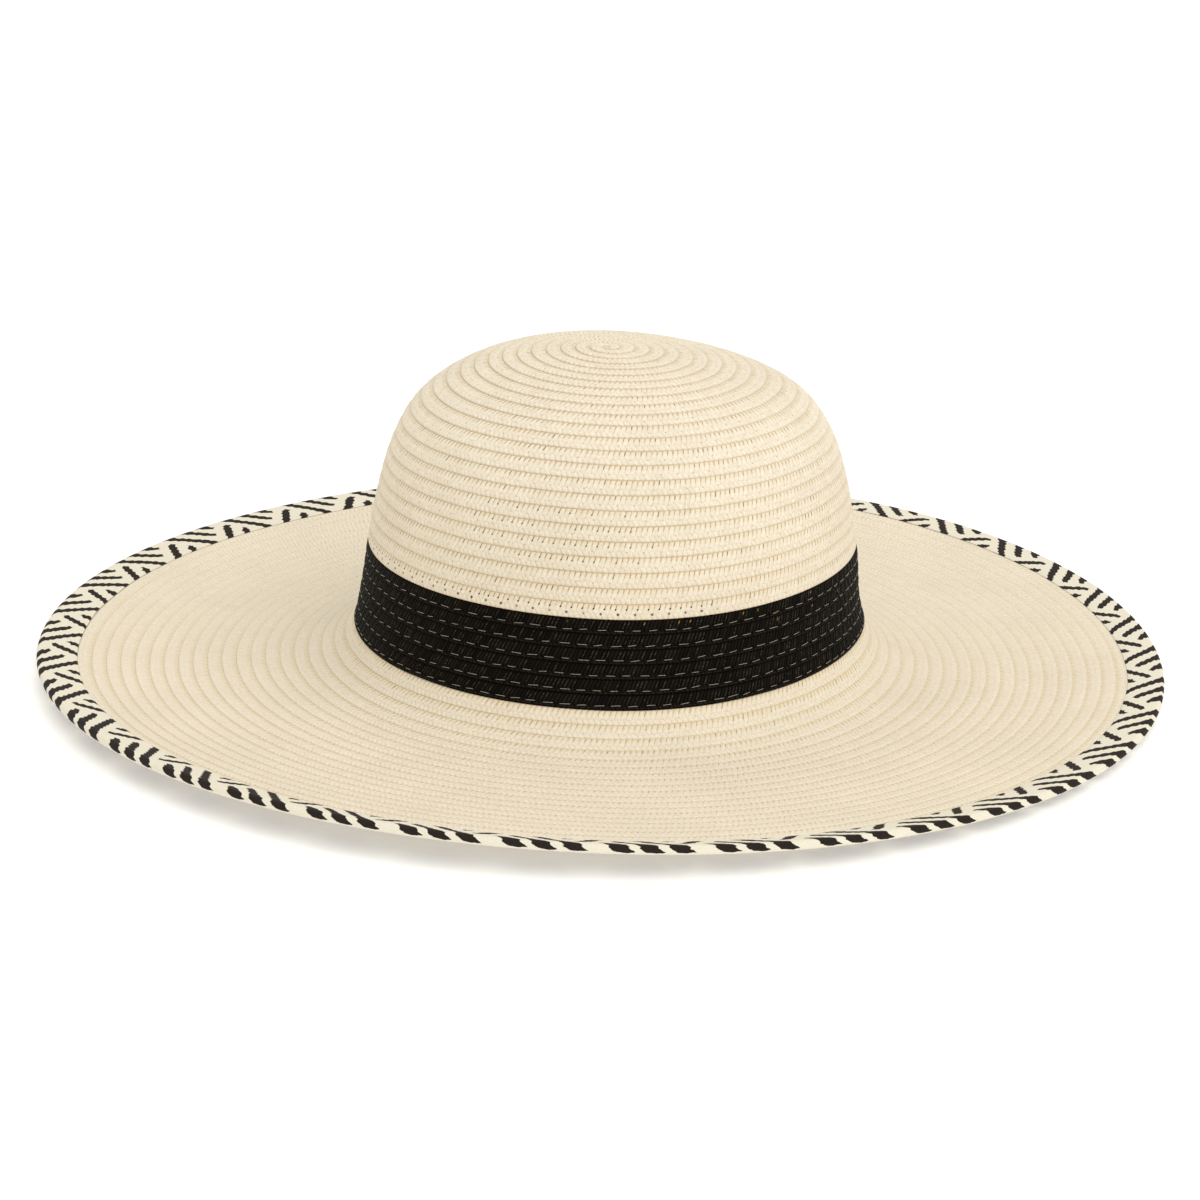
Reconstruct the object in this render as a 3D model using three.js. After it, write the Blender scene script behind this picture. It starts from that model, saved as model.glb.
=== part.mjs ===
import * as THREE from 'three';

// A wide-brimmed sun hat, sewn round and round from a flat straw braid, with a bound edge.
// Sizes are millimetres. +Z is up, the front of the hat faces -Y, the wearer's left is at +X,
// and the hat stands on the edge of its brim, with z = 0 at the surface.

// Lengths along the wall, from the crown's centre out to the edge of the brim.
const CROWN_LENGTH = 126;
const BAND_LENGTH = 30.3;
const BRIM_LENGTH = 98.7;
const TRIM_WIDTH = 14.3;

// Turns of braid in each stretch of the wall.
const CROWN_ROWS = 24.5;
const BAND_ROWS = 6;
const BRIM_ROWS = 19;

// Thicknesses. Each turn of braid overlaps the next, so its outer edge stands proud as a low rib.
const WALL = 1.5;
const RIB = 0.45;
const STEP = 0.35;
const BINDING_CLOTH = 1.0;

// Clear space between neighbouring pieces.
const GAP = 0.3;

// Facets around the hat.
const SIDES = 40;

// Slope of the outer wall, in degrees below level, at a distance along the wall.
// left is at -X, right is at +X, and ends is both the front and the back.
const SLOPES = [
  { along: 0, left: -0.5, right: 1, ends: 0.5 },
  { along: 16, left: 4.5, right: 7.5, ends: 5.5 },
  { along: 32, left: 12, right: 10, ends: 10 },
  { along: 48, left: 22.5, right: 12, ends: 19 },
  { along: 64, left: 37.5, right: 25.5, ends: 37.5 },
  { along: 80, left: 63.5, right: 54, ends: 60 },
  { along: 96, left: 75.5, right: 72, ends: 71 },
  { along: 112, left: 79.5, right: 79, ends: 76.5 },
  { along: 126, left: 84, right: 81.5, ends: 80.5 },
  { along: 141, left: 86, right: 87, ends: 80 },
  { along: 156, left: 58, right: 71.5, ends: 62 },
  { along: 164, left: 31.5, right: 50.5, ends: 40.5 },
  { along: 172, left: 13, right: 29, ends: 19 },
  { along: 182, left: 4, right: 10.5, ends: 2 },
  { along: 196, left: 5, right: 1.5, ends: -0.5 },
  { along: 216, left: 2.5, right: -2, ends: -2 },
  { along: 236, left: -5.5, right: -6, ends: -7.5 },
  { along: 253, left: -9.5, right: -6.5, ends: -11.5 },
  { along: 270, left: -8.5, right: -2.5, ends: -7 },
];

// The brim also waves a little: this is how far its edge drops at the back and at two corners.
const BACK_DROP = 3;
const CORNER_DROP = 1.5;

// Small lean that brings the lowest points of the edge down on one level surface, in degrees.
const LEAN_ABOUT_X = 0.06;
const LEAN_ABOUT_Y = 0.4;

const BAND_TOP = CROWN_LENGTH;
const BAND_BOTTOM = BAND_TOP + BAND_LENGTH;
const BINDING_INNER = BAND_BOTTOM + BRIM_LENGTH;
const BRIM_EDGE = BINDING_INNER + TRIM_WIDTH;

// Distance out from the axis and height of the wall, every TRACE millimetres along it, on one side.
const TRACE = 1;

function traceWall(side) {
  const points = [{ out: 0, height: 0 }];
  for (let along = TRACE; along <= SLOPES[SLOPES.length - 1].along; along += TRACE) {
    const slope = THREE.MathUtils.degToRad(slopeAt(side, along - TRACE / 2));
    const last = points[points.length - 1];
    points.push({
      out: last.out + TRACE * Math.cos(slope),
      height: last.height - TRACE * Math.sin(slope),
    });
  }
  return points;
}

function slopeAt(side, along) {
  const next = Math.max(1, SLOPES.findIndex((row) => row.along >= along));
  const a = SLOPES[next - 1];
  const b = SLOPES[next];
  return THREE.MathUtils.mapLinear(along, a.along, b.along, a[side], b[side]);
}

const LEFT = traceWall('left');
const RIGHT = traceWall('right');
const ENDS = traceWall('ends');

function readTrace(trace, along) {
  const step = Math.min(trace.length - 2, Math.floor(along / TRACE));
  const part = along / TRACE - step;
  return {
    out: THREE.MathUtils.lerp(trace[step].out, trace[step + 1].out, part),
    height: THREE.MathUtils.lerp(trace[step].height, trace[step + 1].height, part),
  };
}

// Point of the outer wall: angle runs from +X through +Y, the back of the hat.
function wallPoint(along, angle) {
  const c = Math.cos(angle);
  const s = Math.sin(angle);
  const flank = readTrace(c > 0 ? RIGHT : LEFT, along);
  const end = readTrace(ENDS, along);
  const brimPart = THREE.MathUtils.clamp((along - BAND_BOTTOM) / (BRIM_EDGE - BAND_BOTTOM), 0, 1);
  const back = Math.max(0, s);
  const drop = brimPart * (CORNER_DROP * Math.sin(2 * angle) - BACK_DROP * back * back);
  return new THREE.Vector3(
    flank.out * c,
    end.out * s,
    flank.height * c * c + end.height * s * s + drop,
  );
}

// Outward direction of the wall. Close to the crown's centre it is straight up.
function wallNormal(along, angle) {
  if (along < 1) return new THREE.Vector3(0, 0, 1);
  const d = 0.5;
  const down = wallPoint(along + d, angle).sub(wallPoint(along - d, angle));
  const round = wallPoint(along, angle + 0.01).sub(wallPoint(along, angle - 0.01));
  return down.cross(round).normalize();
}

// Turns a section, whose points hold a distance along the wall and an offset off it, once around.
function bendRound(section) {
  const geometry = new THREE.LatheGeometry(section, SIDES);
  const position = geometry.attributes.position;
  for (let i = 0; i < position.count; i += 1) {
    const x = position.getX(i);
    const z = position.getZ(i);
    const along = Math.hypot(x, z);
    const angle = along < 1e-6 ? 0 : Math.atan2(z, x);
    const point = wallPoint(along, angle).addScaledVector(wallNormal(along, angle), position.getY(i));
    position.setXYZ(i, point.x, point.y, point.z);
  }
  geometry.computeVertexNormals();
  return geometry;
}

// Outer side of a stretch of braid rows, from its upper end to its lower end.
function ribbedSide(from, to, rows) {
  const pitch = (to - from) / rows;
  const points = [];
  for (let edge = to - Math.floor(rows - 0.01) * pitch; edge < to - pitch / 2; edge += pitch) {
    points.push(new THREE.Vector2(edge - STEP, RIB));
    points.push(new THREE.Vector2(edge + STEP, 0));
  }
  return points;
}

// Inner side of a stretch of wall, from its lower end back to its upper end, ends left out.
function plainSide(from, to, spans) {
  const points = [];
  for (let i = spans - 1; i > 0; i -= 1) {
    points.push(new THREE.Vector2(THREE.MathUtils.lerp(from, to, i / spans), -WALL));
  }
  return points;
}

function makeCrown() {
  const end = BAND_TOP - GAP / 2;
  return bendRound([
    new THREE.Vector2(0, 0),
    ...ribbedSide(0, end, CROWN_ROWS),
    new THREE.Vector2(end, RIB),
    new THREE.Vector2(end, -WALL),
    ...plainSide(0, end, 12),
    new THREE.Vector2(0, -WALL),
  ]);
}

function makeBand() {
  const start = BAND_TOP + GAP / 2;
  const end = BAND_BOTTOM - GAP / 2;
  return bendRound([
    new THREE.Vector2(start, 0),
    ...ribbedSide(start, end, BAND_ROWS),
    new THREE.Vector2(end, RIB),
    new THREE.Vector2(end, -WALL),
    ...plainSide(start, end, 3),
    new THREE.Vector2(start, -WALL),
    new THREE.Vector2(start, 0),
  ]);
}

// The nose of the binding is half round, centred in the thickness of the wall.
const NOSE_RADIUS = WALL / 2 + GAP + BINDING_CLOTH;
const NOSE_CENTRE = BRIM_EDGE - NOSE_RADIUS;
const BINDING_MIDDLE = (BINDING_INNER + NOSE_CENTRE) / 2;
const BRIM_TONGUE_END = NOSE_CENTRE - GAP;

function makeBrim() {
  const start = BAND_BOTTOM + GAP / 2;
  const ribsEnd = BINDING_INNER - 2 * STEP;
  return bendRound([
    new THREE.Vector2(start, 0),
    ...ribbedSide(start, ribsEnd, BRIM_ROWS),
    new THREE.Vector2(ribsEnd - STEP, RIB),
    new THREE.Vector2(ribsEnd + STEP, 0),
    new THREE.Vector2(BINDING_MIDDLE, 0),
    new THREE.Vector2(BRIM_TONGUE_END, 0),
    new THREE.Vector2(BRIM_TONGUE_END, -WALL),
    new THREE.Vector2(BINDING_MIDDLE, -WALL),
    new THREE.Vector2(BINDING_INNER, -WALL),
    ...plainSide(start, BINDING_INNER, 10),
    new THREE.Vector2(start, -WALL),
    new THREE.Vector2(start, 0),
  ]);
}

// The binding is one strip of cloth folded over the brim's edge, open towards the crown.
function makeEdgeTrim() {
  const centre = -WALL / 2;
  const stops = [BINDING_INNER, BINDING_MIDDLE, NOSE_CENTRE];
  const slotHalf = WALL / 2 + GAP;
  const slotEnd = NOSE_CENTRE;
  const nose = [60, 30, 0, -30, -60].map((degrees) => {
    const turn = THREE.MathUtils.degToRad(degrees);
    return new THREE.Vector2(
      NOSE_CENTRE + NOSE_RADIUS * Math.cos(turn),
      centre + NOSE_RADIUS * Math.sin(turn),
    );
  });
  return bendRound([
    ...stops.map((along) => new THREE.Vector2(along, centre + NOSE_RADIUS)),
    ...nose,
    ...stops.map((along) => new THREE.Vector2(along, centre - NOSE_RADIUS)).reverse(),
    new THREE.Vector2(BINDING_INNER, centre - slotHalf),
    new THREE.Vector2(BINDING_MIDDLE, centre - slotHalf),
    new THREE.Vector2(slotEnd, centre - slotHalf),
    new THREE.Vector2(slotEnd, centre + slotHalf),
    new THREE.Vector2(BINDING_MIDDLE, centre + slotHalf),
    new THREE.Vector2(BINDING_INNER, centre + slotHalf),
    new THREE.Vector2(BINDING_INNER, centre + NOSE_RADIUS),
  ]);
}

function strawMaterial(color) {
  return new THREE.MeshStandardMaterial({ color, roughness: 0.75, metalness: 0 });
}

function piece(name, geometry, material) {
  const mesh = new THREE.Mesh(geometry, material);
  mesh.name = name;
  return mesh;
}

const hat = new THREE.Group();
hat.add(piece('crown', makeCrown(), strawMaterial(0xd9cba6)));
hat.add(piece('band', makeBand(), strawMaterial(0x15120f)));
hat.add(piece('brim', makeBrim(), strawMaterial(0xd9cba6)));
hat.add(piece('edge_trim', makeEdgeTrim(), strawMaterial(0xcfc09c)));

// Stand the hat on the surface, with its box centred on the axis.
hat.rotation.set(
  THREE.MathUtils.degToRad(LEAN_ABOUT_X),
  THREE.MathUtils.degToRad(LEAN_ABOUT_Y),
  0,
);
hat.updateMatrixWorld(true);
const bounds = new THREE.Box3().setFromObject(hat, true);
const middle = bounds.getCenter(new THREE.Vector3());
hat.position.set(-middle.x, -middle.y, -bounds.min.z);
hat.updateMatrixWorld(true);

export default hat;
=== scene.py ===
import math

import bmesh
import bpy
import numpy as np
from mathutils import Matrix, Vector


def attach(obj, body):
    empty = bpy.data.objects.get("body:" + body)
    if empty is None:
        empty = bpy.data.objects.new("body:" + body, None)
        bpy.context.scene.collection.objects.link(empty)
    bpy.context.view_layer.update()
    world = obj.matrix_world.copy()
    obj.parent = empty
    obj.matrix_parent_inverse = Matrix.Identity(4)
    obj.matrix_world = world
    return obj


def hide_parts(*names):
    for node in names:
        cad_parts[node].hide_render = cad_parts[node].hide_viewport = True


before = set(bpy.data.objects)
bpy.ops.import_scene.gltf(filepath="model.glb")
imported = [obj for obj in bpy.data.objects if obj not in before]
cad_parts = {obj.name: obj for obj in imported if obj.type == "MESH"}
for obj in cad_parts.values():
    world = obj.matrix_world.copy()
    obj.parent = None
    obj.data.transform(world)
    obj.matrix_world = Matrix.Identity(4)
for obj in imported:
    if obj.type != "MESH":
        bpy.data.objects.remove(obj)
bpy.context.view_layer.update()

# A wide-brimmed sun hat of sewn straw braid. Lengths are millimetres until MM makes them metres.
# +Z is up, the front of the hat faces -Y, and the floor is at z = 0.
MM = 0.001

# The wall of the hat: lengths along it from the crown's centre, rows of braid, thickness.
CROWN_LENGTH = 126
BAND_LENGTH = 30.3
BRIM_LENGTH = 98.7
TRIM_WIDTH = 14.3
CROWN_ROWS = 24.5
BAND_ROWS = 6
BRIM_ROWS = 19
WALL = 1.5
BAND_TOP = CROWN_LENGTH
BAND_BOTTOM = BAND_TOP + BAND_LENGTH
BINDING_INNER = BAND_BOTTOM + BRIM_LENGTH
BRIM_EDGE = BINDING_INNER + TRIM_WIDTH

# Slope of the wall, in degrees below level, at a distance along it. left is at -X, right is at
# +X, and ends is both the front and the back.
SLOPES = [
    {"along": 0, "left": -0.5, "right": 1, "ends": 0.5},
    {"along": 16, "left": 4.5, "right": 7.5, "ends": 5.5},
    {"along": 32, "left": 12, "right": 10, "ends": 10},
    {"along": 48, "left": 22.5, "right": 12, "ends": 19},
    {"along": 64, "left": 37.5, "right": 25.5, "ends": 37.5},
    {"along": 80, "left": 63.5, "right": 54, "ends": 60},
    {"along": 96, "left": 75.5, "right": 72, "ends": 71},
    {"along": 112, "left": 79.5, "right": 79, "ends": 76.5},
    {"along": 126, "left": 84, "right": 81.5, "ends": 80.5},
    {"along": 141, "left": 81, "right": 87, "ends": 80},
    {"along": 150, "left": 80.4, "right": 77.7, "ends": 69.2},
    {"along": 156, "left": 54.25, "right": 71.5, "ends": 62},
    {"along": 164, "left": 31.5, "right": 50.5, "ends": 40.5},
    {"along": 172, "left": 13, "right": 29, "ends": 19},
    {"along": 182, "left": 4, "right": 10.5, "ends": 2},
    {"along": 196, "left": 5, "right": 1.5, "ends": -0.5},
    {"along": 216, "left": 2.5, "right": -2, "ends": -2},
    {"along": 236, "left": -5.5, "right": -6, "ends": -7.5},
    {"along": 253, "left": -9.5, "right": -6.5, "ends": -11.5},
    {"along": 270, "left": -8.5, "right": -2.5, "ends": -7},
]
TRACE_END = SLOPES[-1]["along"]

# The brim also waves a little: this is how far its edge drops at the back and at two corners.
BACK_DROP = 3
CORNER_DROP = 1.5

# The front of the brim sags a little just inside its edge.
SAG = {
    "along": [225, 245, 250, 255, 262, 268, 269.3],
    "height": [0, -0.4, -1.0, -1.6, -1.0, 0.1, 0.35],
}

# Towards the back right the brim rises a little just inside its edge.
RISE = {"along": [215, 245, 256, 269.3], "height": [0, 1.3, 1.8, 0]}
RISE_MIDDLE = math.radians(62)
RISE_NARROWNESS = 6

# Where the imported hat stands: its lean in degrees, and the place of the crown's centre.
LEAN_ABOUT_X = 0.06
LEAN_ABOUT_Y = 0.4
PLACE = np.array([0.1272, -0.1059, 114.7299])


def turn_x(degrees):
    a = math.radians(degrees)
    return np.array([[1, 0, 0], [0, math.cos(a), -math.sin(a)], [0, math.sin(a), math.cos(a)]])


def turn_y(degrees):
    a = math.radians(degrees)
    return np.array([[math.cos(a), 0, math.sin(a)], [0, 1, 0], [-math.sin(a), 0, math.cos(a)]])


LEAN = turn_x(LEAN_ABOUT_X) @ turn_y(LEAN_ABOUT_Y)


def trace_wall(side):
    """Distance out and height of the wall at every millimetre along it, on one side."""
    middles = np.arange(0.5, TRACE_END, 1)
    stops = [row["along"] for row in SLOPES]
    slope = np.radians(np.interp(middles, stops, [row[side] for row in SLOPES]))
    out = np.concatenate([[0], np.cumsum(np.cos(slope))])
    height = np.concatenate([[0], -np.cumsum(np.sin(slope))])
    return out, height


ALONG = np.arange(0, TRACE_END + 1, 1.0)
LEFT, RIGHT, ENDS = (trace_wall(side) for side in ("left", "right", "ends"))


def wall_point(along, angle):
    """Outer wall before the lean. The angle runs from +X through +Y, the back."""
    c, s = np.cos(angle), np.sin(angle)
    right = c > 0
    out = np.where(right, np.interp(along, ALONG, RIGHT[0]), np.interp(along, ALONG, LEFT[0]))
    high = np.where(right, np.interp(along, ALONG, RIGHT[1]), np.interp(along, ALONG, LEFT[1]))
    end_out = np.interp(along, ALONG, ENDS[0])
    end_high = np.interp(along, ALONG, ENDS[1])
    part = np.clip((along - BAND_BOTTOM) / (BRIM_EDGE - BAND_BOTTOM), 0, 1)
    wave = part * (CORNER_DROP * np.sin(2 * angle) - BACK_DROP * np.maximum(0, s) ** 2)
    wave = wave + np.interp(along, SAG["along"], SAG["height"]) * np.maximum(0, -s) ** 2
    near_rise = np.maximum(0, np.cos(angle - RISE_MIDDLE)) ** RISE_NARROWNESS
    wave = wave + np.interp(along, RISE["along"], RISE["height"]) * near_rise
    return np.stack([out * c, end_out * s, high * c * c + end_high * s * s + wave], -1)


# Steps along the wall and round it, in radians, over which its outward direction is measured.
NORMAL_STEP = 0.5
NORMAL_TURN = 0.01
TINY = 1e-9


def on_wall(along, angle, offset):
    """Points at an offset off the outer wall of the leaning hat, in metres."""
    along, angle, offset = np.broadcast_arrays(along, angle, offset)
    above = np.maximum(along - NORMAL_STEP, 0)
    down = wall_point(along + NORMAL_STEP, angle) - wall_point(above, angle)
    around = wall_point(along, angle + NORMAL_TURN) - wall_point(along, angle - NORMAL_TURN)
    normal = np.cross(down, around)
    size = np.linalg.norm(normal, axis=-1, keepdims=True)
    normal = np.where(size > TINY, normal / np.maximum(size, TINY), 0)
    normal[along < 1] = (0, 0, 1)
    points = wall_point(along, angle) + normal * offset[..., None]
    return (points @ LEAN.T + PLACE) * MM


# Rows of braid are counted from the crown's centre, and this is how far along the wall each lies.
BRIM_FROM_ROW = CROWN_ROWS + BAND_ROWS
BINDING_AT_ROW = BRIM_FROM_ROW + BRIM_ROWS
ROWS_END = 52
HIDDEN_LENGTH = BRIM_LENGTH / BRIM_ROWS * (ROWS_END - BINDING_AT_ROW)
ROWS = {
    "row": [0, CROWN_ROWS, BRIM_FROM_ROW, BINDING_AT_ROW, ROWS_END],
    "along": [0, BAND_TOP, BAND_BOTTOM, BINDING_INNER, BINDING_INNER + HIDDEN_LENGTH],
}

# The braid is one spiral. How its gain of one row is spread over a turn changes down the hat.
DRIFT = {
    "row": [0, 10, 12, 14, 16, 20, 24.5, 30.5, 31.5, 35, 42, 49.5, 52],
    "side_to_side": [-0.3, -0.6, -1.0, -1.4, -1.4, -1.1, -1.2, -0.5, -0.1, 0, 0, 0, 0],
    "sides_back": [0, 0.06, -0.15, -0.29, -0.3, -0.08, 0.05, 0.24, 0.2, 0.4, 0.55, 0.8, 0.8],
}


def row_shift(row, turn):
    """How many rows the spiral has gained or lost at a turn of -pi to pi from the front."""
    uneven = np.interp(row, DRIFT["row"], DRIFT["side_to_side"]) * np.sin(turn)
    back = np.interp(row, DRIFT["row"], DRIFT["sides_back"]) * np.sin(turn) ** 2
    return (turn - uneven) / (2 * math.pi) - back


# The last row ends softly inside the binding's slot.
SLOT_SOFT = 259.0
SLOT_LIMIT = 265.3


def row_to_along(rows):
    along = np.interp(rows, ROWS["row"], ROWS["along"])
    room = SLOT_LIMIT - SLOT_SOFT
    beyond = np.maximum(0, along - SLOT_SOFT)
    return np.minimum(along, SLOT_SOFT) + room * np.tanh(beyond / room)


# Across one row of braid, from under the row above to its own lower edge: v is the share of the
# row, and lift is how far its surface stands off the wall. A row narrower than FULL_WIDTH rows,
# as at the spiral's start, is flatter.
SECTION = {
    "v": np.array([0.0, 0.07, 0.25, 0.5, 0.75, 0.93, 1.0]),
    "lift": np.array([-0.12, 0.05, 0.26, 0.4, 0.5, 0.46, 0.22]),
}
INNER = {"v": np.array([0.0, 0.35, 1.0]), "lift": np.array([0.0, 0.1, 0.35])}
BAND_V = np.array([0.0, 0.05, 0.15, 0.3, 0.45, 0.58, 0.68, 0.78, 0.9, 1.0])
MIDDLE_LIFT = 0.4
CROWN_LIFT = 0.85
BRIM_LIFT = 0.55
FULL_WIDTH = 0.6

# The relief fades just before the binding, to the share that is left in its slot.
FLAT_BEFORE = 0.6
FLAT_OVER = 1.2
FLAT_SHARE = 0.25


def flatten_near_binding(along):
    """Share of the braid's relief that is left."""
    return np.clip((BINDING_INNER - FLAT_BEFORE - along) / FLAT_OVER, FLAT_SHARE, 1)


def make_object(name, points, faces, corners):
    """A smooth mesh, with a braid attribute on every face corner where there are corners."""
    mesh = bpy.data.meshes.new(name)
    mesh.from_pydata(points.tolist(), [], faces)
    if corners is not None:
        layer = mesh.attributes.new("braid", "FLOAT_VECTOR", "CORNER")
        layer.data.foreach_set("vector", np.asarray(corners, np.float32).ravel())
    mesh.polygons.foreach_set("use_smooth", np.ones(len(mesh.polygons), bool))
    mesh.update()
    thing = bpy.data.objects.new(name, mesh)
    bpy.context.scene.collection.objects.link(thing)
    return thing


def spiral_path(first, last, columns, start_gap):
    """Angle, row number and upper and lower edge, in rows, at each step along the spiral."""
    turns = last - first + 1
    step = np.arange(turns * columns + 1)
    turn_no = np.minimum(step // columns, turns - 1)
    part = (step - turn_no * columns) / columns
    turn = part * 2 * math.pi - math.pi
    row = first + turn_no
    middle = row + part - 0.5
    upper = np.maximum(0, row - 0.5 + row_shift(middle - 0.5, turn))
    upper = np.where(turn_no == 0, upper + start_gap, upper)
    lower = row + 0.5 + row_shift(middle + 0.5, turn)
    return turn - math.pi / 2, row, upper, lower


def side_points(path, v, lift, base, strands=0.0):
    """Points of one side of the wall, from their shares v of each row and their lifts."""
    angle, _, upper, lower = path
    width = (lower - upper)[:, None]
    along = row_to_along(upper[:, None] + width * v[None, :])
    full = np.clip(width / FULL_WIDTH, 0, 1)
    offset = base + lift[None, :] * flatten_near_binding(along) * full + strands
    return on_wall(along, angle[:, None], offset)


def lengths_along(points):
    """Length from the first point of a line to each of its points."""
    return np.concatenate([[0], np.cumsum(np.linalg.norm(np.diff(points, axis=0), axis=1))])


def strip(t, rails, v, run, row, flip):
    """Quads between two rails of points over the steps t, and the braid attribute of their corners.

    A rail gives the point numbers at given steps. The attribute holds the run along the braid in
    millimetres, the share v of the row and the row number.
    """
    corners = [(rails[0], t, v[0]), (rails[1], t, v[1]), (rails[1], t + 1, v[1]), (rails[0], t + 1, v[0])]
    if flip:
        corners = [corners[i] for i in (0, 3, 2, 1)]
    quads = np.stack([rail(at) for rail, at, _ in corners], -1)
    braid = [np.stack([run[at], np.full(len(t), share), row[t]], -1) for _, at, share in corners]
    return quads, np.stack(braid, 1)


# The share v past a row's lower edge and before its upper edge, where the wall steps over, and on
# the ends of the braid.
STEP_BELOW = (1.0, 1.08)
STEP_ABOVE = (0.0, -0.08)
END_V = 0.9


def wall_faces(first, columns, across, run, row):
    """Faces of a closed spiral wall, as lists of point numbers, and the attribute of each corner."""
    total = len(run) - 1
    m, n = len(across), len(INNER["v"])

    def outer(j, ahead=0):
        return lambda t: (t + ahead) * m + j

    def inner(j, ahead=0):
        return lambda t: len(run) * m + (t + ahead) * n + j

    everywhere, all_but_last = np.arange(total), np.arange(total - columns)
    last_turn, first_turn = np.arange(total - columns, total), np.arange(columns)
    strips = []
    for j in range(m - 1):
        strips.append((everywhere, (outer(j), outer(j + 1)), across[j:j + 2], False))
    for j in range(n - 1):
        strips.append((everywhere, (inner(j), inner(j + 1)), INNER["v"][j:j + 2], True))
    strips.append((all_but_last, (outer(m - 1), outer(0, columns)), STEP_BELOW, False))
    strips.append((all_but_last, (inner(n - 1), inner(0, columns)), STEP_BELOW, True))
    strips.append((last_turn, (outer(m - 1), inner(n - 1)), STEP_BELOW, False))
    if first > 0:
        strips.append((first_turn, (outer(0), inner(0)), STEP_ABOVE, True))
    made = [strip(t, rails, v, run, row, flip) for t, rails, v, flip in strips]
    faces = np.concatenate([quads for quads, _ in made]).tolist()
    corners = [np.concatenate([braid for _, braid in made]).reshape(-1, 3)]

    def close_end(at, ring):
        faces.append(ring)
        corners.append(np.array([[run[at], END_V, row[at]]] * len(ring)))

    def section(at):
        return [outer(j)(at) for j in range(m)], [inner(j)(at) for j in range(n)]

    top, low = section(total)
    back = total - columns
    close_end(total, [outer(m - 1)(back)] + top + low[::-1] + [inner(n - 1)(back)])
    if first > 0:
        top, low = section(0)
        close_end(0, (top + [outer(0)(columns), inner(0)(columns)] + low[::-1])[::-1])
    return faces, np.concatenate(corners)


def braid_wall(name, first, last, columns, start_run=0.0, start_gap=0.0,
               across=SECTION["v"], relief=None, lift_by=1.0):
    """Turns of braid from row first to row last as one closed wall that follows the spiral."""
    path = spiral_path(first, last, columns, start_gap)
    middle_line = side_points(path, np.array([0.5]), np.array([MIDDLE_LIFT]), 0.0)[:, 0]
    run = lengths_along(middle_line) / MM + start_run
    strands = 0.0 if relief is None else relief(run, across)
    lift = np.interp(across, SECTION["v"], SECTION["lift"]) * lift_by
    outer = side_points(path, across, lift, 0.0, strands)
    inner = side_points(path, INNER["v"], INNER["lift"], -WALL)
    points = np.concatenate([outer.reshape(-1, 3), inner.reshape(-1, 3)])
    faces, corners = wall_faces(first, columns, across, run, path[1])
    return make_object(name, points, faces, corners), outer, run


SAME_PLACE = 1e-6


def merge_centre(thing):
    """Joins the points that fall together where the spiral starts."""
    form = bmesh.new()
    form.from_mesh(thing.data)
    bmesh.ops.remove_doubles(form, verts=form.verts, dist=SAME_PLACE)
    bmesh.ops.dissolve_degenerate(form, edges=form.edges, dist=SAME_PLACE)
    form.to_mesh(thing.data)
    form.free()


# The black braid's plait: strands each way from a middle line, and the stitches sunk into it.
BLACK_STRAND = 1.975
BLACK_MIDDLE = 0.66
BLACK_LEAN = (1.1, 1.5)
STRAND_HEIGHT = 0.34
STRAND_LEVEL = 0.6
STRAND_ROUNDNESS = 0.8
STRAND_EDGES = {"v": [0, 0.06, 0.9, 1.0], "share": [0.2, 1.0, 1.0, 0.6]}

# Stitches lie along the middle of the seam at STITCH_AT across each black row.
STITCH_SEED = 7
BLACK_BRAID_LENGTH = 3450
STITCH_INSET = (2.0, 6)
STITCH_SPACING = 5.7
STITCH_UNEVEN = (0.93, 1.07)
STITCH_LENGTH = (2.9, 4.2)
STITCH_AT = 0.73
DENT_DEPTH, DENT_LENGTH, DENT_WIDTH = 0.16, 0.7, 0.09
SEAM_DEPTH, SEAM_WIDTH = 0.08, 0.06


def plan_stitches(start):
    """Start and length of each stitch of clear thread, as runs along the braid."""
    rng = np.random.default_rng(STITCH_SEED)
    plan = []
    at = start + STITCH_INSET[0]
    while at < start + BLACK_BRAID_LENGTH - STITCH_INSET[1]:
        plan.append((at, rng.uniform(*STITCH_LENGTH)))
        at += STITCH_SPACING * rng.uniform(*STITCH_UNEVEN)
    return np.array(plan)


def plait_phase(run, v):
    """Counts the black strands: they lean one way above the middle line and back below it."""
    above = np.minimum(v, BLACK_MIDDLE) * BLACK_LEAN[0]
    below = np.maximum(v - BLACK_MIDDLE, 0) * BLACK_LEAN[1]
    return run / BLACK_STRAND + above - below + 0.5 * (v > BLACK_MIDDLE)


def black_relief(run, across):
    """Height of the strands and the dents at the needle holes of the black braid."""
    phase = plait_phase(run[:, None], across[None, :])
    ridge = np.abs(np.sin(math.pi * phase)) ** STRAND_ROUNDNESS
    inside = np.interp(across, STRAND_EDGES["v"], STRAND_EDGES["share"])
    height = (ridge - STRAND_LEVEL) * STRAND_HEIGHT * inside[None, :]
    holes = np.sort(np.concatenate([STITCHES[:, 0], STITCHES[:, 0] + STITCHES[:, 1]]))
    near = np.clip(np.searchsorted(holes, run), 1, len(holes) - 1)
    away = np.minimum(np.abs(run - holes[near - 1]), np.abs(run - holes[near]))
    off_seam = across - STITCH_AT
    dent = np.exp(-(away / DENT_LENGTH) ** 2)[:, None] * np.exp(-(off_seam / DENT_WIDTH) ** 2)[None, :]
    seam = np.exp(-(off_seam / SEAM_WIDTH) ** 2)[None, :]
    return height - DENT_DEPTH * dent - SEAM_DEPTH * seam


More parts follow.
